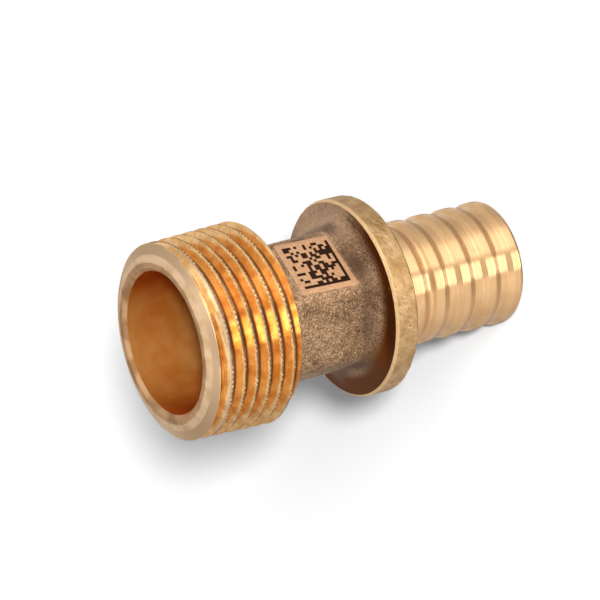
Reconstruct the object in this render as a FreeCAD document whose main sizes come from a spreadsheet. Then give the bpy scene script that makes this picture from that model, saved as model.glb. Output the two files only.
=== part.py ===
import FreeCAD, Part
import math
import os
from types import SimpleNamespace
import Sketcher

# Brass pipe adapter, cast and turned in one piece. It stands on the free end of its ribbed tail, with its
# axis along +Z, the tapered male thread at the top and one flat of the hexagonal neck facing -Y.

# Driving sizes in mm
SIZES = {
    # Ribbed tail, from its free end up to the collar
    "tail_length": 20.2,
    "tail_end_edge": 0.45,
    "rib_radius": 8.3,
    "rib_count": 4,
    "rib_spacing": 4.09,
    "rib_first": 1.7,
    "rib_width": 1.25,
    "valley_radius": 7.85,
    "valley_rise": 1.0,
    "valley_foot": 0.5,
    "land_length": 4.3,
    # Collar that the clamping sleeve stops against
    "collar_radius": 13.2,
    "collar_thickness": 3.45,
    "collar_edge": 0.3,
    # Hexagonal neck for the spanner
    "neck_length": 14.3,
    "neck_flats": 17.6,
    "neck_corner_round": 2.5,
    "neck_root_land": 0.225,
    "shoulder_root_round": 0.8,
    # Male pipe thread R 3/4, as its turned blank: taper 1 in 16 on the diameter, crest size at the gauge plane
    "thread_length": 13.05,
    "thread_gauge_radius": 13.2205,
    "thread_gauge_length": 9.5,
    "thread_taper": 0.03125,
    "thread_shoulder_edge": 0.2,
    "thread_face_radius": 11.1,
    "thread_lead_length": 1.1,
    # Waterway
    "tail_bore_radius": 6.3,
    "tail_mouth_edge": 0.4,
    "socket_radius": 9.44,
    "socket_depth": 11.0,
    "socket_mouth_edge": 0.46,
}

# How far a cutting outline reaches past the metal that it cuts
CLEAR = 1.5


class Size:
    """A length with the sheet expression that it comes from."""

    def __init__(self, text, value):
        self.text = text
        self.value = value

    def _joined(self, sign, other, value):
        other_text = other.text if isinstance(other, Size) else repr(other)
        return Size(f"({self.text} {sign} {other_text})", value)

    def __add__(self, other):
        return self._joined("+", other, self.value + number(other))

    def __sub__(self, other):
        return self._joined("-", other, self.value - number(other))

    def __mul__(self, other):
        return self._joined("*", other, self.value * number(other))

    def __truediv__(self, other):
        return self._joined("/", other, self.value / number(other))


def number(size):
    return size.value if isinstance(size, Size) else size


def make_sheet(doc):
    sheet = doc.addObject("Spreadsheet::Sheet", "Sizes")
    for row, (name, value) in enumerate(SIZES.items(), start=1):
        sheet.set(f"A{row}", name)
        sheet.set(f"B{row}", str(value))
        sheet.setAlias(f"B{row}", name)
    doc.recompute()
    return SimpleNamespace(**{name: Size(f"Sizes.{name}", value) for name, value in SIZES.items()})


def make_sketch(body, name, plane_role, lift=None):
    sketch = body.newObject("Sketcher::SketchObject", name)
    planes = [item for item in body.Origin.OriginFeatures if item.Role == plane_role]
    sketch.AttachmentSupport = (planes[0], "")
    sketch.MapMode = "FlatFace"
    if lift is not None:
        sketch.setExpression("AttachmentOffset.Base.z", lift.text)
    return sketch


def draw_outline(sketch, points):
    """Closed outline of straight lines through (x, y) points, every point tied to the sheet."""
    corners = [FreeCAD.Vector(number(x), number(y), 0) for x, y in points]
    lines = []
    for index, corner in enumerate(corners):
        lines.append(sketch.addGeometry(Part.LineSegment(corners[index - 1], corner), False))
    for index, (x, y) in enumerate(points):
        following = lines[(index + 1) % len(lines)]
        sketch.addConstraint(Sketcher.Constraint("Coincident", lines[index], 2, following, 1))
        place_point(sketch, lines[index], 2, x, y)


def place_point(sketch, edge, end, x, y):
    for kind, size, axis in (("DistanceX", x, -2), ("DistanceY", y, -1)):
        if number(size) == 0:
            sketch.addConstraint(Sketcher.Constraint("PointOnObject", edge, end, axis))
            continue
        tie = sketch.addConstraint(Sketcher.Constraint(kind, -1, 1, edge, end, number(size)))
        sketch.setExpression(f"Constraints[{tie}]", size.text)


def revolve(body, kind, name, sketch):
    feature = body.newObject(kind, name)
    feature.Profile = sketch
    feature.ReferenceAxis = (sketch, ["V_Axis"])
    feature.Angle = 360
    return feature


def make_tail_and_collar(body, s):
    """Plain tail with a bevelled free end, and the collar with its two broken edges."""
    sketch = make_sketch(body, "tail_and_collar_outline", "XZ_Plane")
    collar_top = s.tail_length + s.collar_thickness
    rim = s.collar_radius - s.collar_edge
    draw_outline(sketch, [
        (0, 0),
        (0, collar_top),
        (rim, collar_top),
        (s.collar_radius, collar_top - s.collar_edge),
        (s.collar_radius, s.tail_length + s.collar_edge),
        (rim, s.tail_length),
        (s.rib_radius, s.tail_length),
        (s.rib_radius, s.tail_end_edge),
        (s.rib_radius - s.tail_end_edge, 0),
    ])
    revolve(body, "PartDesign::Revolution", "tail_and_collar", sketch)


def cut_valley(body, name, s, bottom, top):
    """Cut one valley of the tail, from the steep back of the rib below to the gentle rise of the rib above."""
    sketch = make_sketch(body, name + "_outline", "XZ_Plane")
    outside = s.rib_radius + CLEAR
    draw_outline(sketch, [
        (outside, top),
        (s.rib_radius, top),
        (s.valley_radius, top - s.valley_rise),
        (s.valley_radius, bottom + s.valley_foot),
        (s.rib_radius, bottom),
        (outside, bottom),
    ])
    return revolve(body, "PartDesign::Groove", name, sketch)


def make_ribs(doc, body, s):
    """Equal valleys between the ribs, and a shorter one below the land that the collar stands on."""
    top = s.rib_first + s.rib_spacing - s.rib_width
    valley = cut_valley(body, "valley", s, s.rib_first, top)
    doc.recompute()
    pattern = body.newObject("PartDesign::LinearPattern", "valleys")
    pattern.Originals = [valley]
    pattern.Direction = (valley.Profile[0], ["V_Axis"])
    pattern.setExpression("Occurrences", (s.rib_count - 1).text)
    pattern.setExpression("Length", (s.rib_spacing * (s.rib_count - 2)).text)
    body.Tip = pattern
    last_rib = s.rib_first + s.rib_spacing * (s.rib_count - 1)
    cut_valley(body, "land_valley", s, last_rib, s.tail_length - s.land_length)


def make_neck(body, s):
    """Hexagonal neck, one flat towards -Y, with rounded corners."""
    collar_top = s.tail_length + s.collar_thickness
    sketch = make_sketch(body, "neck_outline", "XY_Plane", collar_top)
    inner = s.neck_flats / 2
    ring = Part.Circle(FreeCAD.Vector(0, 0, 0), FreeCAD.Vector(0, 0, 1), inner.value)
    guide = sketch.addGeometry(ring, True)
    sketch.addConstraint(Sketcher.Constraint("Coincident", guide, 3, -1, 1))
    tie = sketch.addConstraint(Sketcher.Constraint("Radius", guide, inner.value))
    sketch.setExpression(f"Constraints[{tie}]", inner.text)
    reach = inner.value / math.cos(math.pi / 6)
    corners = []
    for index in range(6):
        angle = math.radians(240 + 60 * index)
        corners.append(FreeCAD.Vector(reach * math.cos(angle), reach * math.sin(angle), 0))
    flats = []
    for index, corner in enumerate(corners):
        side = Part.LineSegment(corner, corners[(index + 1) % 6])
        flats.append(sketch.addGeometry(side, False))
    for index, flat in enumerate(flats):
        following = flats[(index + 1) % 6]
        sketch.addConstraint(Sketcher.Constraint("Coincident", flat, 2, following, 1))
        sketch.addConstraint(Sketcher.Constraint("Tangent", flat, guide))
        if index:
            sketch.addConstraint(Sketcher.Constraint("Equal", flats[0], flat))
    sketch.addConstraint(Sketcher.Constraint("Horizontal", flats[0]))
    neck = body.newObject("PartDesign::Pad", "neck")
    neck.Profile = sketch
    neck.setExpression("Length", s.neck_length.text)
    return neck


def edges_where(shape, test):
    return [f"Edge{index}" for index, edge in enumerate(shape.Edges, start=1) if test(edge)]


def round_edges(doc, body, name, radius, test):
    """Round the edges of the body so far that pass the test."""
    doc.recompute()
    base = body.Tip
    rounded = body.newObject("PartDesign::Fillet", name)
    rounded.Base = (base, edges_where(base.Shape, test))
    rounded.setExpression("Radius", radius.text)
    doc.recompute()


def lies_at_height(edge, height, reach):
    """True for an edge in the plane at this height that stays within reach of the axis."""
    box = edge.BoundBox
    level = abs(box.ZMin - height) < 1e-4 and abs(box.ZMax - height) < 1e-4
    far = max(math.hypot(vertex.X, vertex.Y) for vertex in edge.Vertexes)
    return level and far < reach


def neck_root_round(s):
    """Radius of the blend onto the collar, which leaves a narrow flat land beyond it at the neck's corners."""
    corner_reach = (s.neck_flats / 2 - s.neck_corner_round) / math.cos(math.pi / 6) + s.neck_corner_round
    return s.collar_radius - s.collar_edge - s.neck_root_land - corner_reach


def make_thread_blank(body, s):
    """Tapered blank of the male thread at the size of its crests, with its steep lead-in at the face."""
    sketch = make_sketch(body, "thread_blank_outline", "XZ_Plane")
    shoulder = s.tail_length + s.collar_thickness + s.neck_length
    face = shoulder + s.thread_length
    lead = face - s.thread_lead_length
    edge_radius = s.thread_gauge_radius - (s.thread_gauge_length - s.thread_length) * s.thread_taper
    lead_radius = s.thread_gauge_radius - (s.thread_gauge_length - s.thread_lead_length) * s.thread_taper
    draw_outline(sketch, [
        (0, shoulder),
        (0, face),
        (s.thread_face_radius, face),
        (lead_radius, lead),
        (edge_radius, shoulder + s.thread_shoulder_edge),
        (edge_radius - s.thread_shoulder_edge, shoulder),
    ])
    revolve(body, "PartDesign::Revolution", "thread_blank", sketch)


def cut_waterway(body, s):
    """Small bore through the tail and the neck, widening by a 45 degree cone into the thread's socket."""
    sketch = make_sketch(body, "waterway_outline", "XZ_Plane")
    face = s.tail_length + s.collar_thickness + s.neck_length + s.thread_length
    cone_top = face - s.socket_depth
    cone_bottom = cone_top - (s.socket_radius - s.tail_bore_radius)
    draw_outline(sketch, [
        (0, 0),
        (s.tail_bore_radius + s.tail_mouth_edge, 0),
        (s.tail_bore_radius, s.tail_mouth_edge),
        (s.tail_bore_radius, cone_bottom),
        (s.socket_radius, cone_top),
        (s.socket_radius, face - s.socket_mouth_edge),
        (s.socket_radius + s.socket_mouth_edge, face),
        (0, face),
    ])
    revolve(body, "PartDesign::Groove", "waterway", sketch)


def make_adapter(doc, s):
    body = doc.addObject("PartDesign::Body", "adapter_body")
    make_tail_and_collar(body, s)
    make_ribs(doc, body, s)
    make_neck(body, s)
    doc.recompute()
    collar_top = number(s.tail_length + s.collar_thickness)
    shoulder = collar_top + number(s.neck_length)
    reach = number(s.neck_flats) / 2 / math.cos(math.pi / 6) + 0.01
    round_edges(doc, body, "neck_corners", s.neck_corner_round,
                lambda edge: edge.BoundBox.ZMin > collar_top - 1e-4 and edge.BoundBox.ZLength > 1.0)
    make_thread_blank(body, s)
    round_edges(doc, body, "neck_root", neck_root_round(s),
                lambda edge: lies_at_height(edge, collar_top, reach))
    round_edges(doc, body, "shoulder_root", s.shoulder_root_round,
                lambda edge: lies_at_height(edge, shoulder, reach))
    cut_waterway(body, s)
    doc.recompute()
    return body


def check(doc, parts):
    """Stop before anything is written if a feature failed or a shape is not one valid solid."""
    for item in doc.Objects:
        if "Invalid" in item.State or "Error" in item.State:
            raise RuntimeError(f"{item.Name} did not compute: {item.State}")
    for part in parts:
        shape = part.Shape
        if shape.isNull() or not shape.isValid() or len(shape.Solids) != 1:
            raise RuntimeError(f"{part.Label} is not one valid solid")
        print(part.Label, "volume", round(shape.Volume, 1), "faces", len(shape.Faces), shape.BoundBox)


doc = FreeCAD.newDocument("pex_male_adapter")
sizes = make_sheet(doc)
parts = [make_adapter(doc, sizes)]
check(doc, parts)
os.makedirs("parts", exist_ok=True)
for part in parts:
    part.Shape.exportStep(f"parts/{part.Label}.step")
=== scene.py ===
import math
import random

import bpy
from mathutils import Matrix, Vector, noise


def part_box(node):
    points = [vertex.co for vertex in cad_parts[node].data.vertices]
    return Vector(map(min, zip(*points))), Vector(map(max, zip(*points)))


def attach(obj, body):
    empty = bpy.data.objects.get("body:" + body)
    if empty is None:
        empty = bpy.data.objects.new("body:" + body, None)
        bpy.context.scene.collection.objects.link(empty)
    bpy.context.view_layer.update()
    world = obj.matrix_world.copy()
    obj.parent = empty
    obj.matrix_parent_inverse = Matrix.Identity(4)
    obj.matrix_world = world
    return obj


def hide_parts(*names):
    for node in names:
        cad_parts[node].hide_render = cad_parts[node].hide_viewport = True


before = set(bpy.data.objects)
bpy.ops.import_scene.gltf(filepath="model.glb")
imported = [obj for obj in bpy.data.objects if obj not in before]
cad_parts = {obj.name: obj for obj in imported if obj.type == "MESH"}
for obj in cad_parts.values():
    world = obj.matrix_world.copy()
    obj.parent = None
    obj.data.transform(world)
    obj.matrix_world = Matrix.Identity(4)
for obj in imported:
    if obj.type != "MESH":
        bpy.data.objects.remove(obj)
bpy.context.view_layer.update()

# Brass pipe adapter that stands on the free end of its ribbed tail. Sizes are in mm unless a comment says
# otherwise, and METRE turns them into the scene's metres.

METRE = 0.001

# Sizes that the solid has too. The height comes from the frame
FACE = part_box("adapter_body")[1].z / METRE
TAIL_LENGTH = 20.2
COLLAR_THICKNESS = 3.45
NECK_LENGTH = 14.3
COLLAR_FRONT = TAIL_LENGTH + COLLAR_THICKNESS
SHOULDER = COLLAR_FRONT + NECK_LENGTH

RIB_RADIUS = 8.3
RIB_COUNT = 4
RIB_SPACING = 4.09
RIB_FIRST = 1.7
RIB_WIDTH = 1.25
VALLEY_RADIUS = 7.85
VALLEY_RISE = 1.0
VALLEY_FOOT = 0.5
LAND_LENGTH = 4.3
TAIL_END_EDGE = 0.45

COLLAR_RADIUS = 13.2
COLLAR_EDGE = 0.3

NECK_FLATS = 17.6
NECK_CORNER_ROUND = 2.5
NECK_ROOT_ROUND = 2.9
SHOULDER_ROUND = 0.8

GAUGE_RADIUS = 13.2205
GAUGE_LENGTH = 9.5
TAPER = 0.03125
SHOULDER_EDGE = 0.2
FACE_RADIUS = 10.65
FACE_STEP = 0.05
LEAD_LENGTH = 1.1
LIP = 0.45

TAIL_BORE_RADIUS = 6.3
TAIL_MOUTH_EDGE = 0.4
SOCKET_RADIUS = 9.44
SOCKET_DEPTH = 11.0
SOCKET_MOUTH_EDGE = 0.46

# Small roundings that only the scene has, of cut edges, of the tail's valleys and inside the bore
CUT_ROUND = 0.12
FINE_ROUND = 0.03
TAIL_END_ROUND = 0.5
VALLEY_FOOT_ROUND = 0.3
VALLEY_ROUND = 0.9
COLLAR_BACK_ROUND = 0.2
BORE_ROUND = 0.5
TAIL_MOUTH_ROUND = 0.1
SOCKET_MOUTH_ROUND = 0.06

# Unevenness, as waves of (height, width)
RIM_LUMPS = ((0.08, 1.1), (0.04, 0.45))
RIM_WEAR = (0.12, 0.8)
RIM_WEAR_REACH = 0.5
FACE_WAVES = ((0.003, 0.8), (0.006, 2.5))
NECK_LUMPS = ((0.05, 2.5), (0.035, 0.7))

# Thread R 3/4: 14 turns to the inch, 55 degree form, right-hand
PITCH = 25.4 / 14
CREST_FLAT = 0.14
CREST_REACH = 0.08
THREAD_DEPTH = 1.36
FLANK_SLOPE = 1 / math.tan(math.radians(27.5))
CREST_AT_FRONT = 49.18
NOTCHES_PER_TURN = 120
NOTCH_DEPTH = 0.09
BURR_WIDTH = 0.32
BURR_THINNEST = 0.05
BURR_STEP = 0.04
BURR_ROUGHNESS = 0.06

# Turns down from the face where the groove starts and is whole, and where the first ridge's burr starts to
# thin and ends
GROOVE_STARTS = (0.62, 0.95)
BURR_ENDS = (1.30, 1.62)

# What varies by chance: the burr's width, as a middle share and its spread, the share of a notch's depth, and
# the range of noise over which the crests go from dull to pale, partly as wear and partly as painted glints
BURR_MIDDLE = 0.8
BURR_SPREAD = 0.7
BURR_LUMPS_PER_RADIAN = 5
NOTCH_SHARES = (0.5, 1.3)
WEAR_AND_GLINT_RANGE = (-0.4, 0.5)
WEAR_AND_GLINT_SPOTS_PER_RADIAN = 9

# Numbers at each point of the thread, which its material reads
THREAD_MEASURES = ("along", "crest", "wear_and_glint", "turned", "burr", "depth")

# Columns round the axis of a turned surface and of the thread
TURNED_COLUMNS = 240
COLUMNS_PER_NOTCH = 4
THREAD_COLUMNS = COLUMNS_PER_NOTCH * NOTCHES_PER_TURN

# Widths of the marks that turning, the die and facing left
TAIL_MARKS = 0.16
THREAD_MARKS = 0.14
FACE_MARKS = 0.12

# Side of the neck painted lighter and side of the bore painted with a sheen, in degrees round the axis
# from +X, and how far each reaches, as cosines of the angle from it
LIGHTER_SIDE = -31
LIGHTER_SIDE_REACH = (0.4, 0.95)
AWAY_FROM_LIGHTER_SIDE = (0.2, -0.9)
SHEEN_SIDE = 58
SHEEN_REACH = (0.35, 1.0)

# Brown on the collar's front, partly cast skin and partly painted shade away from the lighter side: the
# distance from the axis where it starts on the lighter side, how much nearer it starts on the far side, how
# wide its edge is, and how much of it the shoulder keeps
SKIN_START = 10.4
SKIN_NEARER = 1.2
SKIN_EDGE = 2.0
SHOULDER_SKIN = 0.3

# Distances from the axis on the collar's front where painted light on the lighter side starts and is whole,
# and how strong it is
PALENESS_FROM = (8.8, 10.4)
PAINTED_PALENESS = 0.3

# Painted shade: a dark line in the crease where the neck's root starts, by the distance out from the flats,
# with its patches and strength
ROOT_SHADE_STARTS = (0.0, 0.08)
ROOT_SHADE_ENDS = (0.4, 1.4)
ROOT_SHADE_PATCHES = (0.6, 4)
ROOT_SHADE_LEVEL = 0.75
ROOT_SHADE_STRENGTH = 0.85

# Rows of the flat rings, as shares of the way from the neck out to the rim and to the thread
ROOT_TO_RIM = (1.0, 0.85, 0.6, 0.3, 0.1)
SHOULDER_TO_THREAD = (0.15, 0.5, 0.85, 1.0)

# Laser-marked square on the flat towards -Y, and how far outside it the neck's lumps start and are whole
MARK_CENTRE = (-0.08, 30.24)
MARK_WIDTH = 8.74
MARK_HEIGHT = 8.4
MARK_MARGIN = 0.8
MARK_TURN = -2.4
MARK_CELLS = 16
DARK_CELLS = 0.46
MARGIN_PARTS = 3
MARK_PROUD = 0.02
MARK_CLEARANCE = (0.2, 0.7)

# Camera of the photograph: where it looks and from how far, in metres, its angles in degrees, and its lens
CAMERA_AIM = Vector((0.4, -1.4, 30.2)) * METRE
CAMERA_AZIMUTH = -35.5
CAMERA_ELEVATION = 30.02
CAMERA_ROLL = -104.07
CAMERA_DISTANCE = 572 * METRE
CAMERA_LENS = 264.2
CAMERA_SEES_TO = 20

# Studio that the metal shows: two rings of walls round the adapter, as (degrees from the camera towards the
# picture's bottom, brightness). Most of the adapter shows the high ring, with a window towards the picture's
# top. The thread's flanks show the low ring, whose bright window ends sharply at 30 degrees
WALLS_ROUND = (
    (-180, 1.05), (-151, 1.36), (-122, 1.08), (-100, 1.04), (-86, 1.10), (-72, 1.32), (-59, 1.75),
    (-47, 2.80), (-18, 2.95), (-11, 1.35), (-5, 1.15), (3, 1.06), (14, 1.00), (28, 0.98), (29.5, 1.66),
    (43, 1.64), (60, 1.46), (96, 1.04), (130, 0.86), (180, 1.05),
)
LOW_WALLS_ROUND = (
    (-180, 0.46), (-120, 0.50), (-85, 0.66), (-60, 0.88), (-25, 1.20), (-10, 1.60), (-3, 6.60),
    (29, 6.80), (31, 1.20), (60, 1.12), (100, 1.00), (140, 0.78), (180, 0.46),
)

# Degrees above the level where the low ring, the ceiling and the dark ground below start and are whole
LOW_WALLS_EDGE = (-34, -37)
CEILING_EDGE = (38, 62)
NADIR_EDGE = (-56, -68)
CEILING = 1.5
NADIR = 0.25

# Dark cards straight behind the adapter and above that: how much each takes off, and the degrees from its
# middle where it starts and is whole
DARK_BEHIND = (0.9, 28, 14)
DARK_ABOVE = (0.26, 55, 15)

# Walls as they light what isn't metal
WALLS_LIGHT = 0.12

# Lamps: strength, width in degrees, and how far beside the camera, towards the picture's top and its right
SMALL_LAMP = (2.15, 5.2, 0.074, 0.035)
WIDE_LAMP = (1.05, 32, 0.16, -0.06)

# Floor, in metres, and its paper as the camera sees it, white where it is lit
FLOOR_HALF = 3.0
FLOOR_WHITE = (1.89, 1.89, 1.89, 1.0)


def linear(colour):
    """Linear colour of an sRGB hex value."""
    parts = [int(colour[index:index + 2], 16) / 255 for index in (1, 3, 5)]
    return [part / 12.92 if part <= 0.04045 else ((part + 0.055) / 1.055) ** 2.4 for part in parts] + [1.0]


def per_metre(size):
    """Scale of a pattern whose features are this many mm wide."""
    return 1 / (size * METRE)


def smooth(low, high, value):
    """Share from 0 at low to 1 at high, with a soft start and end."""
    share = min(max((value - low) / (high - low), 0.0), 1.0)
    return share * share * (3 - 2 * share)


def spoke(angle):
    """Level direction outwards at this angle round the axis."""
    return Vector((math.cos(angle), math.sin(angle)))


def turned_point(angle, radius, height):
    """Point at an angle round the axis, a distance from it and a height."""
    return Vector((radius * math.cos(angle), radius * math.sin(angle), height))


def uneven(place, *waves):
    """Random waves added up at a place, each as (height, width)."""
    return sum(height * noise.noise(place / width) for height, width in waves)


# Materials

def add_node(tree, kind, inputs=None, output=0, **settings):
    """Add a node with its settings and give back one of its outputs. Each input is a value, a hex colour or
    an output to link it from."""
    node = tree.nodes.new("ShaderNode" + kind)
    for name, value in settings.items():
        setattr(node, name, value)
    for key, value in (inputs or {}).items():
        if isinstance(value, bpy.types.NodeSocket):
            tree.links.new(value, node.inputs[key])
        else:
            node.inputs[key].default_value = linear(value) if isinstance(value, str) else value
    return node.outputs[output] if node.outputs else None


def new_material(name):
    """Empty material and its tree."""
    material = bpy.data.materials.new(name)
    material.use_nodes = True
    material.node_tree.nodes.clear()
    return material, material.node_tree


def finished(material, inputs):
    """Material with its shader, which has these inputs."""
    shader = add_node(material.node_tree, "BsdfPrincipled", inputs)
    add_node(material.node_tree, "OutputMaterial", {"Surface": shader})
    return material


def layered(tree, ground, *layers):
    """Colour of a ground with layers over it. A layer is (measure, bare, full, colour): none of it shows
    where the measure is at bare, and all of it where the measure is at full."""
    for measure, bare, full, colour in layers:
        share = add_node(tree, "MapRange", {0: measure, 1: bare, 2: full})
        ground = add_node(tree, "Mix", {0: share, 6: ground, 7: colour}, output=2, data_type="RGBA")
    return ground


def sheared_along_rings(tree, amount):
    """Shader inputs that blur reflections across the turning marks and keep them crisp along the marks."""
    tangent = add_node(tree, "Tangent", direction_type="RADIAL", axis="Z")
    return {"Anisotropic": amount, "Anisotropic Rotation": 0.25, "Tangent": tangent}


def turned_tail_brass():
    """Brass turned on a lathe and tumbled: satin pale gold with fine rings, and tan in patches and rings."""
    material, tree = new_material("turned_tail_brass")
    place = add_node(tree, "TexCoord", output="Object")
    along = add_node(tree, "Attribute", output="Fac", attribute_name="along")
    rings = add_node(tree, "TexNoise", {"W": along, "Scale": 1 / TAIL_MARKS, "Detail": 2.0},
                     noise_dimensions="1D")
    cloud = add_node(tree, "TexNoise", {"Vector": place, "Scale": per_metre(2.4), "Detail": 3.0})
    base = layered(tree, "#E6BA88", (cloud, 0.40, 0.65, "#DCB07E"), (rings, 0.40, 0.28, "#CCA070"))
    rough = add_node(tree, "MapRange", {0: rings, 1: 0.3, 2: 0.7, 3: 0.20, 4: 0.28})
    bump = add_node(tree, "Bump", {"Height": rings, "Strength": 0.25, "Distance": 0.02 * METRE})
    return finished(material, {"Base Color": base, "Metallic": 1.0, "Roughness": rough, "Normal": bump,
                               **sheared_along_rings(tree, 1.0)})


def cut_thread_brass():
    """Brass cut by a die, with a film of oil left on it: glossy gold flanks that reflect each other and so
    look orange, roots painted dark as shade, and dull crests with pale spots that are partly wear and partly
    painted glints. The burr and the lead-in are matt and pale."""
    material, tree = new_material("cut_thread_brass")
    place = add_node(tree, "TexCoord", output="Object")
    along, crest, wear_and_glint, turned, burr, depth = [
        add_node(tree, "Attribute", output="Fac", attribute_name=measure) for measure in THREAD_MEASURES]
    lines = add_node(tree, "TexNoise", {"W": along, "Scale": 1 / THREAD_MARKS, "Detail": 2.0},
                     noise_dimensions="1D")
    cloud = add_node(tree, "TexNoise", {"Vector": place, "Scale": per_metre(1.6), "Detail": 4.0})
    # The roots darken with their depth as painted shade, and the pale crest spots are partly wear and partly
    # painted glints.
    base = layered(tree, "#F4C68A", (cloud, 0.42, 0.62, "#DCA25E"), (lines, 0.42, 0.30, "#D89C54"),
                   (depth, 0.76, 1.0, "#744A22"), (crest, 0, 1, "#9C7850"), (wear_and_glint, 0, 1, "#FFEAC0"),
                   (burr, 0, 1, "#E6C8A8"), (turned, 0, 1, "#E4C49C"))
    tumbled = add_node(tree, "Math", {0: crest, 1: burr}, operation="MAXIMUM")
    matt = add_node(tree, "Math", {0: turned, 1: tumbled}, operation="MAXIMUM")
    rough = add_node(tree, "MapRange", {0: matt, 3: 0.16, 4: 0.62})
    bump = add_node(tree, "Bump", {"Height": lines, "Strength": 0.1, "Distance": 0.015 * METRE})
    return finished(material, {"Base Color": base, "Metallic": 1.0, "Roughness": rough, "Normal": bump,
                               "Specular Tint": "#FFDAAE", "Coat Weight": 0.5, "Coat Roughness": 0.12,
                               **sheared_along_rings(tree, 0.9)})


def faced_brass():
    """End ring faced on a lathe and then tumbled: satin with faint rings, pale on the lead-in cone and
    browner on the face, with a broken brown line of painted shade along the edge where the two meet."""
    material, tree = new_material("faced_brass")
    place = add_node(tree, "TexCoord", output="Object")
    along = add_node(tree, "Attribute", output="Fac", attribute_name="along")
    rings = add_node(tree, "TexNoise", {"W": along, "Scale": 1 / FACE_MARKS, "Detail": 2.0},
                     noise_dimensions="1D")
    cloud = add_node(tree, "TexNoise", {"Vector": place, "Scale": per_metre(2.0), "Detail": 4.0})
    patch = add_node(tree, "MapRange", {0: cloud, 1: 0.40, 2: 0.65})
    flat = add_node(tree, "VectorMath", {0: place, 1: (1, 1, 0)}, operation="MULTIPLY")
    radius = add_node(tree, "VectorMath", {0: flat}, output="Value", operation="LENGTH")
    seam = FACE_RADIUS * METRE
    cone = layered(tree, "#E8C6A0", (patch, 0, 1, "#D4AE82"))
    face = layered(tree, "#C89E74", (patch, 0, 1, "#A27A52"))
    # The broken brown line along the seam is painted shade of the edge between face and cone.
    on_seam = add_node(tree, "Math", {0: radius, 1: seam, 2: 0.05 * METRE}, operation="COMPARE")
    broken = add_node(tree, "Math", {0: on_seam, 1: patch}, operation="MULTIPLY")
    base = layered(tree, face, (radius, seam - 0.1 * METRE, seam, cone), (broken, 0, 1, "#A8825A"))
    bump = add_node(tree, "Bump", {"Height": rings, "Strength": 0.2, "Distance": 0.02 * METRE})
    return finished(material, {"Base Color": base, "Metallic": 1.0, "Roughness": 0.46, "Normal": bump})


def bored_brass():
    """Waterway bored with a drill and reamer: orange brown under a dull film of cutting oil, with a painted
    sheen that makes one side brighter."""
    material, tree = new_material("bored_brass")
    place = add_node(tree, "TexCoord", output="Object")
    painted_sheen = add_node(tree, "Attribute", output="Fac", attribute_name="painted_sheen")
    cloud = add_node(tree, "TexNoise", {"Vector": place, "Scale": per_metre(3.5), "Detail": 4.0})
    oiled = layered(tree, "#C46C20", (cloud, 0.38, 0.66, "#A05418"))
    sheen_colour = layered(tree, "#FFB460", (cloud, 0.38, 0.66, "#F0963E"))
    # Painted highlight: a sheen that makes the bore brighter on one side.
    base = layered(tree, oiled, (painted_sheen, 0, 1, sheen_colour))
    return finished(material, {"Base Color": base, "Metallic": 0.64, "Roughness": 0.4,
                               "Specular Tint": "#EEA468"})


def blasted_cast_brass():
    """Sand-cast brass blasted with shot: grey brown, with grit painted dark in its pits and pale on its
    peaks, in clumps, as painted shade and glints over its own tone. The collar's front is painted paler on
    one side as light, and brown in the corner by the rim and away from that side, partly as cast skin and
    partly as painted shade. A line of painted shade darkens the crease where the neck's root starts. The grit
    is drawn a little coarser than it is, so that it shows."""
    material, tree = new_material("blasted_cast_brass")
    place = add_node(tree, "TexCoord", output="Object")
    sheltered = add_node(tree, "Attribute", output="Fac", attribute_name="sheltered")
    smudged = add_node(tree, "Attribute", output="Fac", attribute_name="smudged")
    grit = add_node(tree, "TexNoise",
                    {"Vector": place, "Scale": per_metre(0.21), "Detail": 2.0, "Roughness": 0.6})
    clump = add_node(tree, "TexNoise", {"Vector": place, "Scale": per_metre(0.7), "Detail": 3.0})
    cloud = add_node(tree, "TexNoise", {"Vector": place, "Scale": per_metre(3.4), "Detail": 3.0})
    # Grit relief: its pits are painted dark as shade and its peaks pale as glints, over the grit's own tone.
    pits = add_node(tree, "Mix", {0: 0.25, 2: grit, 3: clump})
    # This measure is partly cast skin and partly painted shade. Below 0 it paints the lighter side paler.
    skin = add_node(tree, "Mix", {0: 0.25, 2: sheltered, 3: clump})
    base = layered(tree, "#B89472", (cloud, 0.38, 0.66, "#967454"), (pits, 0.54, 0.34, "#4E3A2A"),
                   (pits, 0.56, 0.68, "#D8BE9C"), (sheltered, 0.0, -2 * PAINTED_PALENESS, "#DCB896"),
                   (skin, 0.2, 0.8, "#6C3C18"), (smudged, 0, 1, "#5E4434"))
    rough = add_node(tree, "MapRange", {0: sheltered, 3: 0.56, 4: 0.5})
    bumpiness = add_node(tree, "MapRange", {0: sheltered, 3: 0.8, 4: 0.4})
    bump = add_node(tree, "Bump", {"Height": pits, "Strength": bumpiness, "Distance": 0.10 * METRE})
    return finished(material, {"Base Color": base, "Metallic": 1.0, "Roughness": rough, "Normal": bump})


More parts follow.
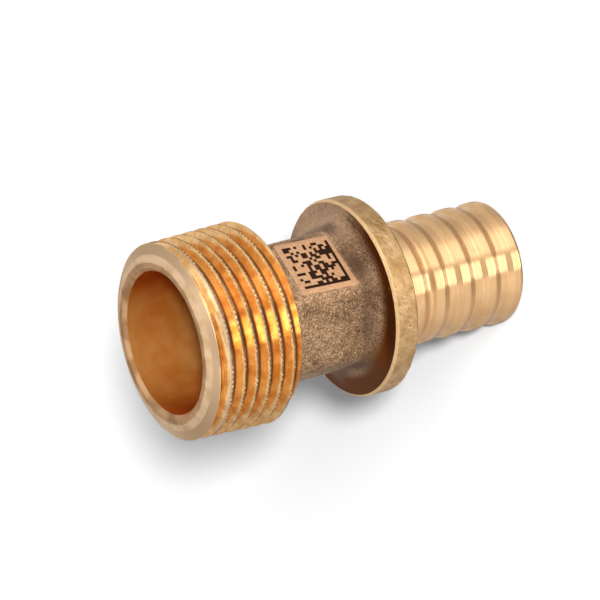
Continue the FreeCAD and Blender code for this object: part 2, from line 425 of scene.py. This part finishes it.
def cast_rim_brass():
    """Rim of the collar, cast and tumbled: bronze gold, slightly lumpy, painted pale along its front edge,
    partly as wear and partly as a painted highlight of the edge.
    """
    material, tree = new_material("cast_rim_brass")
    place = add_node(tree, "TexCoord", output="Object")
    height = add_node(tree, "SeparateXYZ", {"Vector": place}, output="Z")
    grit = add_node(tree, "TexNoise",
                    {"Vector": place, "Scale": per_metre(0.55), "Detail": 4.0, "Roughness": 0.6})
    cloud = add_node(tree, "TexNoise", {"Vector": place, "Scale": per_metre(1.6), "Detail": 3.0})
    # The band along the front edge is painted pale: partly wear, partly a painted highlight of the edge.
    base = layered(tree, "#CAA678", (cloud, 0.34, 0.72, "#A68052"), (grit, 0.42, 0.30, "#9C7648"),
                   (height, (COLLAR_FRONT - 1.5 * COLLAR_EDGE) * METRE, (COLLAR_FRONT - COLLAR_EDGE) * METRE,
                    "#E4BE8C"))
    rough = add_node(tree, "MapRange", {0: grit, 1: 0.3, 2: 0.7, 3: 0.42, 4: 0.52})
    bump = add_node(tree, "Bump", {"Height": grit, "Strength": 1.0, "Distance": 0.2 * METRE})
    return finished(material, {"Base Color": base, "Metallic": 1.0, "Roughness": rough, "Normal": bump})


def laser_cleaned_brass():
    """Field of the laser mark: the cast skin burnt off, pale copper and even."""
    material, tree = new_material("laser_cleaned_brass")
    place = add_node(tree, "TexCoord", output="Object")
    grit = add_node(tree, "TexNoise", {"Vector": place, "Scale": per_metre(0.3), "Detail": 3.0})
    base = layered(tree, "#CE9A6E", (grit, 0.35, 0.65, "#DDB088"))
    return finished(material, {"Base Color": base, "Metallic": 0.5, "Roughness": 0.6})


def laser_burnt_brass():
    """Cells of the laser mark: oxide burnt dark brown, dull and no longer like metal."""
    material, tree = new_material("laser_burnt_brass")
    place = add_node(tree, "TexCoord", output="Object")
    grit = add_node(tree, "TexNoise", {"Vector": place, "Scale": per_metre(0.25), "Detail": 3.0})
    base = layered(tree, "#1E0D04", (grit, 0.35, 0.65, "#301608"))
    return finished(material, {"Base Color": base, "Roughness": 0.7, "Specular IOR Level": 0.15})


def pale_paper():
    """Matt paper under the adapter: pale grey in the light that it gives back, and white to the camera."""
    material, tree = new_material("pale_paper")
    seen = add_node(tree, "LightPath", output="Is Camera Ray")
    shown = add_node(tree, "Mix", {0: seen, 6: "#E7E7E7", 7: FLOOR_WHITE}, output=2, data_type="RGBA")
    paper = add_node(tree, "BsdfDiffuse", {"Color": shown})
    add_node(tree, "OutputMaterial", {"Surface": paper})
    return material


# Meshes

def add_measure(mesh, name, values):
    """Give a mesh one named number at each point, for its material to read."""
    layer = mesh.attributes.new(name, "FLOAT", "POINT")
    layer.data.foreach_set("value", values)


def make_piece(name, points, faces, materials, face_materials=None, **measures):
    """Piece of the adapter from points in mm, with its measures."""
    mesh = bpy.data.meshes.new(name)
    mesh.from_pydata([Vector(point) * METRE for point in points], [], faces)
    for measure, values in measures.items():
        add_measure(mesh, measure, values)
    for material in materials:
        mesh.materials.append(material)
    if face_materials:
        mesh.polygons.foreach_set("material_index", face_materials)
    mesh.shade_smooth()
    piece = bpy.data.objects.new(name, mesh)
    bpy.context.scene.collection.objects.link(piece)
    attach(piece, "root")
    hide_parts("adapter_body")
    return piece


def ring_faces(rows, columns):
    """Faces of a grid that closes round the axis, wound so that rows going up face outwards."""
    faces = []
    for row in range(rows - 1):
        for column in range(columns):
            following = (column + 1) % columns
            low, high = row * columns, (row + 1) * columns
            faces.append((low + column, low + following, high + following, high + column))
    return faces


def rounded(corners, step=0.12):
    """Outline through (radius, height, rounding) corners, with arcs in them and points beside each arc."""
    outline = []
    for index, (radius, height, rounding) in enumerate(corners):
        corner = Vector((radius, height))
        if index in (0, len(corners) - 1) or rounding == 0:
            outline.append(corner)
            continue
        back = (Vector(corners[index - 1][:2]) - corner).normalized()
        ahead = (Vector(corners[index + 1][:2]) - corner).normalized()
        half = back.angle(ahead) / 2
        reach = rounding / math.tan(half)
        centre = corner + (back + ahead).normalized() * rounding / math.sin(half)
        start = corner + back * reach - centre
        end = corner + ahead * reach - centre
        turn = start.angle_signed(end)
        parts = max(3, math.ceil(abs(turn) * rounding / step))
        for part in range(parts + 1):
            angle = -turn * part / parts
            swung = Vector((start.x * math.cos(angle) - start.y * math.sin(angle),
                            start.x * math.sin(angle) + start.y * math.cos(angle)))
            outline.append(centre + swung)
    return with_support(outline)


def with_support(outline, guard=0.05, longest=0.6):
    """Outline with points added near the ends of each long run, so that smooth shading stays in the arcs."""
    points = [outline[0]]
    for start, end in zip(outline, outline[1:]):
        length = (end - start).length
        if length < 1e-6:
            continue
        run = (end - start) / length
        if length > 3 * guard:
            inner = length - 2 * guard
            parts = math.ceil(inner / longest)
            points += [start + run * (guard + inner * part / parts) for part in range(parts + 1)]
        points.append(end)
    return points


def make_turned(name, outline, material, bend=None):
    """Turned surface from an outline of (radius, height), which runs with the metal on its left. Its measure
    along is the distance along the outline."""
    lengths = [0.0]
    for start, end in zip(outline, outline[1:]):
        lengths.append(lengths[-1] + (end - start).length)
    points = []
    for radius, height in outline:
        for column in range(TURNED_COLUMNS):
            angle = 2 * math.pi * column / TURNED_COLUMNS
            shift = bend(angle, radius, height) if bend else Vector((0, 0))
            points.append(turned_point(angle, radius + shift.x, height + shift.y))
    along = [length for length in lengths for _ in range(TURNED_COLUMNS)]
    return make_piece(name, points, ring_faces(len(outline), TURNED_COLUMNS), [material], along=along)


def make_ribbed_tail(material):
    corners = [
        (TAIL_BORE_RADIUS + TAIL_MOUTH_EDGE, 0, 0),
        (RIB_RADIUS - TAIL_END_EDGE, 0, CUT_ROUND),
        (RIB_RADIUS, TAIL_END_EDGE, TAIL_END_ROUND),
    ]
    for rib in range(RIB_COUNT):
        edge = RIB_FIRST + rib * RIB_SPACING
        last = rib == RIB_COUNT - 1
        crest = TAIL_LENGTH - LAND_LENGTH if last else edge + RIB_SPACING - RIB_WIDTH
        corners += [
            (RIB_RADIUS, edge, CUT_ROUND),
            (VALLEY_RADIUS, edge + VALLEY_FOOT, VALLEY_FOOT_ROUND),
            (VALLEY_RADIUS, crest - VALLEY_RISE, VALLEY_ROUND),
            (RIB_RADIUS, crest, VALLEY_ROUND),
        ]
    corners.append((RIB_RADIUS, TAIL_LENGTH, 0))
    return make_turned("ribbed_tail", rounded(corners), material)


def cast_unevenness(angle, radius, height):
    """Slight lumps of the cast rim, and uneven wear of its front edge."""
    place = turned_point(angle, radius, height)
    front = smooth(COLLAR_FRONT - RIM_WEAR_REACH, COLLAR_FRONT - COLLAR_EDGE, height)
    wear = front * abs(uneven(place, RIM_WEAR))
    return Vector((min(uneven(place, *RIM_LUMPS), 0.0) - wear, 0))


def make_collar(material):
    rim = COLLAR_RADIUS - COLLAR_EDGE
    corners = [
        (RIB_RADIUS, TAIL_LENGTH, 0),
        (rim, TAIL_LENGTH, CUT_ROUND),
        (COLLAR_RADIUS, TAIL_LENGTH + COLLAR_EDGE, COLLAR_BACK_ROUND),
        (COLLAR_RADIUS, COLLAR_FRONT - COLLAR_EDGE, CUT_ROUND),
        (rim, COLLAR_FRONT, 0),
    ]
    return make_turned("collar", rounded(corners), material, cast_unevenness)


def make_waterway(material):
    """Surface of the bores, with a measure that tells how near a point is to the side painted with a sheen.
    """
    cone_top = FACE - SOCKET_DEPTH
    cone_bottom = cone_top - (SOCKET_RADIUS - TAIL_BORE_RADIUS)
    corners = [
        (SOCKET_RADIUS, FACE - SOCKET_MOUTH_EDGE, 0),
        (SOCKET_RADIUS, cone_top, BORE_ROUND),
        (TAIL_BORE_RADIUS, cone_bottom, BORE_ROUND),
        (TAIL_BORE_RADIUS, TAIL_MOUTH_EDGE, TAIL_MOUTH_ROUND),
        (TAIL_BORE_RADIUS + TAIL_MOUTH_EDGE, 0, 0),
    ]
    piece = make_turned("waterway", rounded(corners), material)
    # Share of the painted sheen, by nearness to the side that has it.
    side = spoke(math.radians(SHEEN_SIDE))
    nearness = [vertex.co.xy.normalized().dot(side) for vertex in piece.data.vertices]
    add_measure(piece.data, "painted_sheen", [smooth(*SHEEN_REACH, near) for near in nearness])
    return piece


def tumbled_unevenness(angle, radius, height):
    """Slight waves of the face and its edges, from cutting and tumbling, that end where the thread starts."""
    wave = uneven(turned_point(angle, radius, height), *FACE_WAVES)
    if radius > FACE_RADIUS:
        wave *= smooth(FACE - LIP, FACE - LIP / 2, height)
    return Vector((wave, min(wave, 0.0)))


def make_end_ring(material):
    slope = (tapered_radius(FACE - LEAD_LENGTH) - FACE_RADIUS) / LEAD_LENGTH
    corners = [
        (FACE_RADIUS + LIP * slope, FACE - LIP, 0),
        (FACE_RADIUS + FACE_STEP * slope, FACE - FACE_STEP, FINE_ROUND),
        (FACE_RADIUS, FACE - FACE_STEP, 0),
        (FACE_RADIUS - FACE_STEP, FACE, FINE_ROUND),
        (SOCKET_RADIUS + SOCKET_MOUTH_EDGE, FACE, SOCKET_MOUTH_ROUND),
        (SOCKET_RADIUS, FACE - SOCKET_MOUTH_EDGE, 0),
    ]
    return make_turned("end_ring", rounded(corners), material, tumbled_unevenness)


# Male thread

def crest_phase(angle, height):
    """Height above the crest line below this point, from 0 to one pitch."""
    return (height - CREST_AT_FRONT - PITCH * angle / (2 * math.pi)) % PITCH


def groove_depth(angle, height):
    """Depth of the groove under the crests, and 1 if the point is in the burr strip by the first ridge."""
    phase = crest_phase(angle, height)
    half = CREST_FLAT / 2
    turns_down = (FACE - (height - phase + PITCH / 2)) / PITCH
    ragged = BURR_MIDDLE + BURR_SPREAD * noise.noise(turned_point(angle, BURR_LUMPS_PER_RADIAN, 0))
    strip = BURR_WIDTH * ragged * (1 - smooth(*BURR_ENDS, turns_down))
    lower = (phase - half - strip) * FLANK_SLOPE
    upper = (PITCH - half - phase) * FLANK_SLOPE
    depth = smooth(*GROOVE_STARTS, turns_down) * min(max(min(lower, upper), 0.0), THREAD_DEPTH)
    if strip > BURR_THINNEST and half < phase < half + strip:
        return depth + BURR_STEP, 1.0
    return depth, 0.0


def tapered_radius(height):
    """Radius of the thread's crests at a height."""
    return GAUGE_RADIUS + (FACE - GAUGE_LENGTH - height) * TAPER


def blank_radius(height):
    """Radius of the turned blank: tapered, with a steep lead-in at the face and a broken edge below."""
    tapered = tapered_radius(height)
    lead = FACE_RADIUS + (FACE - height) * (tapered_radius(FACE - LEAD_LENGTH) - FACE_RADIUS) / LEAD_LENGTH
    edge = tapered - SHOULDER_EDGE + (height - SHOULDER)
    return min(tapered, lead, edge)


def thread_radius(angle, height):
    """Radius of the threaded surface, 1 if it is the plain blank there, 1 if it is the burr, and the share of
    the groove's depth."""
    blank = blank_radius(height)
    depth, burr = groove_depth(angle, height)
    cut = tapered_radius(height) - depth
    if blank < cut - 1e-6:
        return blank, 1.0, 0.0, 0.0
    return cut, 0.0, burr, depth / THREAD_DEPTH


def thread_rows():
    """Heights of the rows over one pitch, measured from the crest line, closer at the edges of the flats."""
    half = [0.0, 0.04, 0.07, 0.10, 0.22, 0.42, 0.62, 0.76, 0.778, 0.85]
    return half + [PITCH / 2] + [PITCH - height for height in reversed(half[1:])]


def thread_point(angle, height, notch_part, dice):
    """Point of the thread, notched at the first column of each notch, and its THREAD_MEASURES."""
    radius, turned, burr, depth = thread_radius(angle, height)
    phase = crest_phase(angle, height)
    crest = 1.0 if min(phase, PITCH - phase) < CREST_REACH and not turned else 0.0
    if crest and notch_part == 0:
        radius -= NOTCH_DEPTH * dice.uniform(*NOTCH_SHARES)
    if burr:
        radius -= dice.uniform(0.0, BURR_ROUGHNESS)
    # Pale spots on the crests: partly wear, partly painted glints of light on the notch edges.
    spots = noise.noise(turned_point(angle, WEAR_AND_GLINT_SPOTS_PER_RADIAN, height))
    wear_and_glint = crest * smooth(*WEAR_AND_GLINT_RANGE, spots) if notch_part >= COLUMNS_PER_NOTCH / 2 else 0.0
    return turned_point(angle, radius, height), (phase, crest, wear_and_glint, turned, burr, depth)


def make_male_thread(material):
    lowest = math.floor((SHOULDER - CREST_AT_FRONT) / PITCH) - 1
    highest = math.ceil((FACE - CREST_AT_FRONT) / PITCH) + 1
    offsets = [turn * PITCH + row for turn in range(lowest, highest) for row in thread_rows()]
    dice = random.Random(5)
    points, measured, grid = [], [], []
    index_of = {}
    for column in range(THREAD_COLUMNS + 1):
        angle = 2 * math.pi * column / THREAD_COLUMNS
        line = []
        for offset in offsets:
            height = min(max(CREST_AT_FRONT + PITCH * angle / (2 * math.pi) + offset, SHOULDER), FACE - LIP)
            key = (column % THREAD_COLUMNS, round(height, 4))
            if key not in index_of:
                index_of[key] = len(points)
                point, values = thread_point(angle, height, column % COLUMNS_PER_NOTCH, dice)
                points.append(point)
                measured.append(values)
            line.append(index_of[key])
        grid.append(line)
    faces = []
    for left, right in zip(grid, grid[1:]):
        for low in range(len(offsets) - 1):
            corners = (left[low], right[low], right[low + 1], left[low + 1])
            used = tuple(dict.fromkeys(corners))
            if len(used) > 2:
                faces.append(used)
    return make_piece("male_thread", points, faces, [material], **dict(zip(THREAD_MEASURES, zip(*measured))))


# Hexagonal neck

def hexagon_outline(per_corner=10, per_flat=30):
    """Points and outward directions round the neck, from the start of the flat towards -Y."""
    inner = NECK_FLATS / 2 - NECK_CORNER_ROUND
    half_flat = inner * math.tan(math.pi / 6)
    outline = []
    for side in range(6):
        facing = math.radians(-90 + 60 * side)
        outward = spoke(facing)
        sideways = Vector((-outward.y, outward.x))
        for step in range(per_flat):
            slide = half_flat * (2 * step / per_flat - 1)
            outline.append((outward * NECK_FLATS / 2 + sideways * slide, outward))
        centre = outward * inner + sideways * half_flat
        for step in range(per_corner):
            turned = spoke(facing + math.radians(60) * step / per_corner)
            outline.append((centre + turned * NECK_CORNER_ROUND, turned))
    return outline


def neck_rows(root_parts=12, flat_parts=60, shoulder_parts=6):
    """(distance out from the flats, height) of the rows from the collar up to the shoulder."""
    low = COLLAR_FRONT + NECK_ROOT_ROUND
    high = SHOULDER - SHOULDER_ROUND
    rows = []
    for step in range(root_parts + 1):
        angle = math.pi / 2 * step / root_parts
        rows.append((NECK_ROOT_ROUND * (1 - math.sin(angle)),
                     COLLAR_FRONT + NECK_ROOT_ROUND * (1 - math.cos(angle))))
    rows += [(0.0, low + (high - low) * part / flat_parts) for part in range(1, flat_parts)]
    for step in range(shoulder_parts + 1):
        angle = math.pi / 2 * step / shoulder_parts
        rows.append((SHOULDER_ROUND * (1 - math.cos(angle)), high + SHOULDER_ROUND * math.sin(angle)))
    return rows


def under_mark(place, height):
    """1 under the laser mark and 0 a little way outside it."""
    if place.y > 0:
        return 0.0
    side = abs(place.x - MARK_CENTRE[0]) - MARK_WIDTH / 2
    level = abs(height - MARK_CENTRE[1]) - MARK_HEIGHT / 2
    return 1 - smooth(*MARK_CLEARANCE, max(side, level))


def skin_and_painted_shading(place, height):
    """Share of brown at this point, partly cast skin and partly painted shade: most in the corner by the rim,
    away from the side painted lighter. It is below 0 on the collar's front on that side, where it paints
    light."""
    if height > SHOULDER - SHOULDER_ROUND:
        return SHOULDER_SKIN
    if height > COLLAR_FRONT + NECK_ROOT_ROUND:
        return 0.0
    # Painted light on one side and painted shade on the other, with brown cast skin in the corner by the rim.
    facing = place.normalized().dot(spoke(math.radians(LIGHTER_SIDE)))
    towards_lighter_side = smooth(*LIGHTER_SIDE_REACH, facing)
    start = SKIN_START - SKIN_NEARER * smooth(*AWAY_FROM_LIGHTER_SIDE, facing)
    darkened = smooth(start, start + SKIN_EDGE, place.length) * (1 - towards_lighter_side)
    return darkened - PAINTED_PALENESS * towards_lighter_side * smooth(*PALENESS_FROM, place.length)


def smudge(place, out):
    """Darkness of the painted shade line in the crease where the neck's root starts, by the distance out from
    the flats.
    """
    patchy = max(ROOT_SHADE_LEVEL + uneven(place.to_3d(), ROOT_SHADE_PATCHES), 0.0)
    line = patchy * smooth(*ROOT_SHADE_STARTS, out) * (1 - smooth(*ROOT_SHADE_ENDS, out))
    return ROOT_SHADE_STRENGTH * min(line, 1.0)


def make_hex_neck(material):
    outline = hexagon_outline()
    columns = len(outline)
    points, sheltered, smudged = [], [], []

    def add_flat_row(places, height):
        for place in places:
            points.append((place.x, place.y, height))
            sheltered.append(skin_and_painted_shading(place, height))
            smudged.append(0.0)

    angles = [math.atan2(place.y, place.x) for place, _ in outline]
    rim = [spoke(angle) * (COLLAR_RADIUS - COLLAR_EDGE) for angle in angles]
    root = [place + outward * NECK_ROOT_ROUND for place, outward in outline]
    for share in ROOT_TO_RIM:
        add_flat_row([foot.lerp(edge, share) for foot, edge in zip(root, rim)], COLLAR_FRONT)
    for out, height in neck_rows():
        for place, outward in outline:
            spot = Vector((place.x, place.y, height))
            rough = uneven(spot, *NECK_LUMPS) * (1 - under_mark(place, height))
            moved = place + outward * (out + rough)
            points.append((moved.x, moved.y, height))
            sheltered.append(skin_and_painted_shading(moved, height))
            # Painted shade in the crease where the neck's root starts.
            smudged.append(smudge(place, out) if height < SHOULDER - SHOULDER_ROUND else 0.0)
    shoulder = [place + outward * SHOULDER_ROUND for place, outward in outline]
    thread_end = [spoke(angle) * thread_radius(angle, SHOULDER)[0] for angle in angles]
    for share in SHOULDER_TO_THREAD:
        add_flat_row([foot.lerp(edge, share) for foot, edge in zip(shoulder, thread_end)], SHOULDER)
    faces = ring_faces(len(points) // columns, columns)
    return make_piece("hex_neck", points, faces, [material], sheltered=sheltered, smudged=smudged)


def neck_surface(slide, height):
    """Point on the neck at this distance round from the middle of the flat towards -Y, just proud of it."""
    inner = NECK_FLATS / 2 - NECK_CORNER_ROUND
    half_flat = inner * math.tan(math.pi / 6)
    beyond = max(abs(slide) - half_flat, 0.0)
    angle = beyond / NECK_CORNER_ROUND
    reach = NECK_CORNER_ROUND + MARK_PROUD
    x = min(abs(slide), half_flat) + reach * math.sin(angle)
    y = -(inner + reach * math.cos(angle))
    return (math.copysign(x, slide), y, height)


def mark_lines(size):
    """Lines between the cells of the mark, counted from its middle, with its bare margins in narrow parts."""
    inner = size / 2 - MARK_MARGIN
    margin = [inner + MARK_MARGIN * part / MARGIN_PARTS for part in range(1, MARGIN_PARTS + 1)]
    cells = [inner * (2 * cell / MARK_CELLS - 1) for cell in range(MARK_CELLS + 1)]
    return [-line for line in reversed(margin)] + cells + margin


def make_laser_mark(field, burnt):
    """Square of cells that carries no code: solid along two sides, the rest dark or bare by chance."""
    dice = random.Random(11)
    dark = set()
    for row in range(MARK_CELLS):
        for column in range(MARK_CELLS):
            if row == 0 or column == 0 or dice.random() < DARK_CELLS:
                dark.add((column, row))
    across, up = mark_lines(MARK_WIDTH), mark_lines(MARK_HEIGHT)
    turn = math.radians(MARK_TURN)
    points = []
    for level in up:
        for slide in across:
            points.append(neck_surface(MARK_CENTRE[0] + slide * math.cos(turn) - level * math.sin(turn),
                                       MARK_CENTRE[1] + slide * math.sin(turn) + level * math.cos(turn)))
    faces, kinds = [], []
    columns = len(across)
    for row in range(len(up) - 1):
        for column in range(columns - 1):
            low = row * columns + column
            faces.append((low, low + 1, low + columns + 1, low + columns))
            kinds.append(1 if (column - MARGIN_PARTS, row - MARGIN_PARTS) in dark else 0)
    return make_piece("laser_mark", points, faces, [field, burnt], kinds)


# Stage, light and camera

def make_floor(material):
    """Floor that takes the adapter's soft shadow. The metal shows the studio's walls below it instead."""
    mesh = bpy.data.meshes.new("floor")
    corners = [(x * FLOOR_HALF, y * FLOOR_HALF, 0) for x, y in ((-1, -1), (1, -1), (1, 1), (-1, 1))]
    mesh.from_pydata(corners, [], [(0, 1, 2, 3)])
    mesh.materials.append(material)
    floor = bpy.data.objects.new("floor", mesh)
    bpy.context.scene.collection.objects.link(floor)
    floor.visible_glossy = False
    floor.visible_shadow = False


def add_walls(tree, around, walls):
    """Brightness of a ring of walls round the adapter. Its ramp holds it as a share of the brightest."""
    brightest = max(level for _, level in walls)
    ramp = add_node(tree, "ValToRGB", {0: add_node(tree, "MapRange", {0: around, 1: -math.pi, 2: math.pi})})
    stops = ramp.node.color_ramp.elements
    for degrees, _ in walls[1:-1]:
        stops.new((degrees + 180) / 360)
    for stop, (_, level) in zip(stops, walls):
        share = level / brightest
        stop.color = (share, share, share, 1.0)
    return add_node(tree, "Math", {0: ramp, 1: brightest}, operation="MULTIPLY")


def make_world():
    """Studio: pale to the camera, windows and walls in the metal, and a plain soft light on the rest."""
    world = bpy.data.worlds.new("studio")
    bpy.context.scene.world = world
    world.use_nodes = True
    tree = world.node_tree
    tree.nodes.clear()

    towards = add_node(tree, "TexCoord", output="Generated")
    back = camera_axes()[2]
    front = Vector((back.x, back.y, 0)).normalized()
    side = Vector((front.y, -front.x, 0))
    over = Vector((-back.x, -back.y, back.z))
    along_front, along_side, along_rise, along_view, along_over = [
        add_node(tree, "VectorMath", {0: towards, 1: direction}, output="Value", operation="DOT_PRODUCT")
        for direction in (front, side, (0, 0, 1), -back, over)]
    around = add_node(tree, "Math", {0: along_side, 1: along_front}, operation="ARCTAN2")
    above = add_node(tree, "Math", {0: along_rise}, operation="ARCSINE")
    low_share, top_share, bottom_share = [
        add_node(tree, "MapRange", {0: above, 1: math.radians(start), 2: math.radians(whole)})
        for start, whole in (LOW_WALLS_EDGE, CEILING_EDGE, NADIR_EDGE)]
    low = add_node(tree, "Mix", {0: bottom_share, 2: add_walls(tree, around, LOW_WALLS_ROUND), 3: NADIR})
    high = add_node(tree, "Mix", {0: top_share, 2: add_walls(tree, around, WALLS_ROUND), 3: CEILING})
    mirrored = add_node(tree, "Mix", {0: low_share, 2: high, 3: low})
    for nearness, (darkness, start, whole) in ((along_view, DARK_BEHIND), (along_over, DARK_ABOVE)):
        kept = add_node(tree, "MapRange", {0: nearness, 1: math.cos(math.radians(start)),
                                           2: math.cos(math.radians(whole)), 3: 1.0, 4: 1 - darkness})
        mirrored = add_node(tree, "Math", {0: mirrored, 1: kept}, operation="MULTIPLY")

    path = add_node(tree, "LightPath").node.outputs
    seen = add_node(tree, "Math", {0: path["Is Camera Ray"], 1: path["Is Transmission Ray"]},
                    operation="MAXIMUM")
    straight = add_node(tree, "MapRange", {0: path["Diffuse Depth"], 1: 1.0, 2: 0.0})
    in_metal = add_node(tree, "Math", {0: path["Is Glossy Ray"], 1: straight}, operation="MULTIPLY")
    unseen = add_node(tree, "Mix", {0: in_metal, 2: WALLS_LIGHT, 3: mirrored})
    strength = add_node(tree, "Mix", {0: seen, 2: unseen, 3: 1.0})
    light = add_node(tree, "Background", {"Strength": strength})
    add_node(tree, "OutputWorld", {"Surface": light})


def camera_axes():
    """Directions to the right and up in the picture, and from what it shows back to the camera."""
    around = math.radians(CAMERA_AZIMUTH)
    above = math.radians(CAMERA_ELEVATION)
    roll = math.radians(CAMERA_ROLL)
    level = Vector((math.cos(around), math.sin(around), 0))
    rise = Vector((-math.sin(around) * math.sin(above), math.cos(around) * math.sin(above), math.cos(above)))
    right = level * math.cos(roll) + rise * math.sin(roll)
    up = rise * math.cos(roll) - level * math.sin(roll)
    return right, up, right.cross(up)


def make_camera():
    right, up, back = camera_axes()
    camera = bpy.data.objects.new("camera", bpy.data.cameras.new("camera"))
    camera.data.lens = CAMERA_LENS
    camera.data.clip_end = CAMERA_SEES_TO
    turn = Matrix((right, up, back)).transposed().to_4x4()
    camera.matrix_world = Matrix.Translation(CAMERA_AIM + back * CAMERA_DISTANCE) @ turn
    bpy.context.scene.collection.objects.link(camera)
    bpy.context.scene.camera = camera


def make_lamp(name, strength, degrees, rise, shift):
    """Lamp that shines from beside the camera, this far towards the picture's top and right. The metal shows
    the studio's windows, not the lamp."""
    right, up, back = camera_axes()
    lamp = bpy.data.lights.new(name, "SUN")
    lamp.energy = strength
    lamp.angle = math.radians(degrees)
    sun = bpy.data.objects.new(name, lamp)
    sun.visible_glossy = False
    towards = back + up * rise + right * shift
    sun.matrix_world = towards.to_track_quat("Z", "Y").to_matrix().to_4x4()
    bpy.context.scene.collection.objects.link(sun)


def main():
    make_ribbed_tail(turned_tail_brass())
    make_collar(cast_rim_brass())
    make_hex_neck(blasted_cast_brass())
    make_laser_mark(laser_cleaned_brass(), laser_burnt_brass())
    make_male_thread(cut_thread_brass())
    make_end_ring(faced_brass())
    make_waterway(bored_brass())
    make_floor(pale_paper())
    make_world()
    make_camera()
    make_lamp("small_lamp", *SMALL_LAMP)
    make_lamp("wide_lamp", *WIDE_LAMP)
    bpy.context.scene.view_settings.view_transform = "Standard"


main()
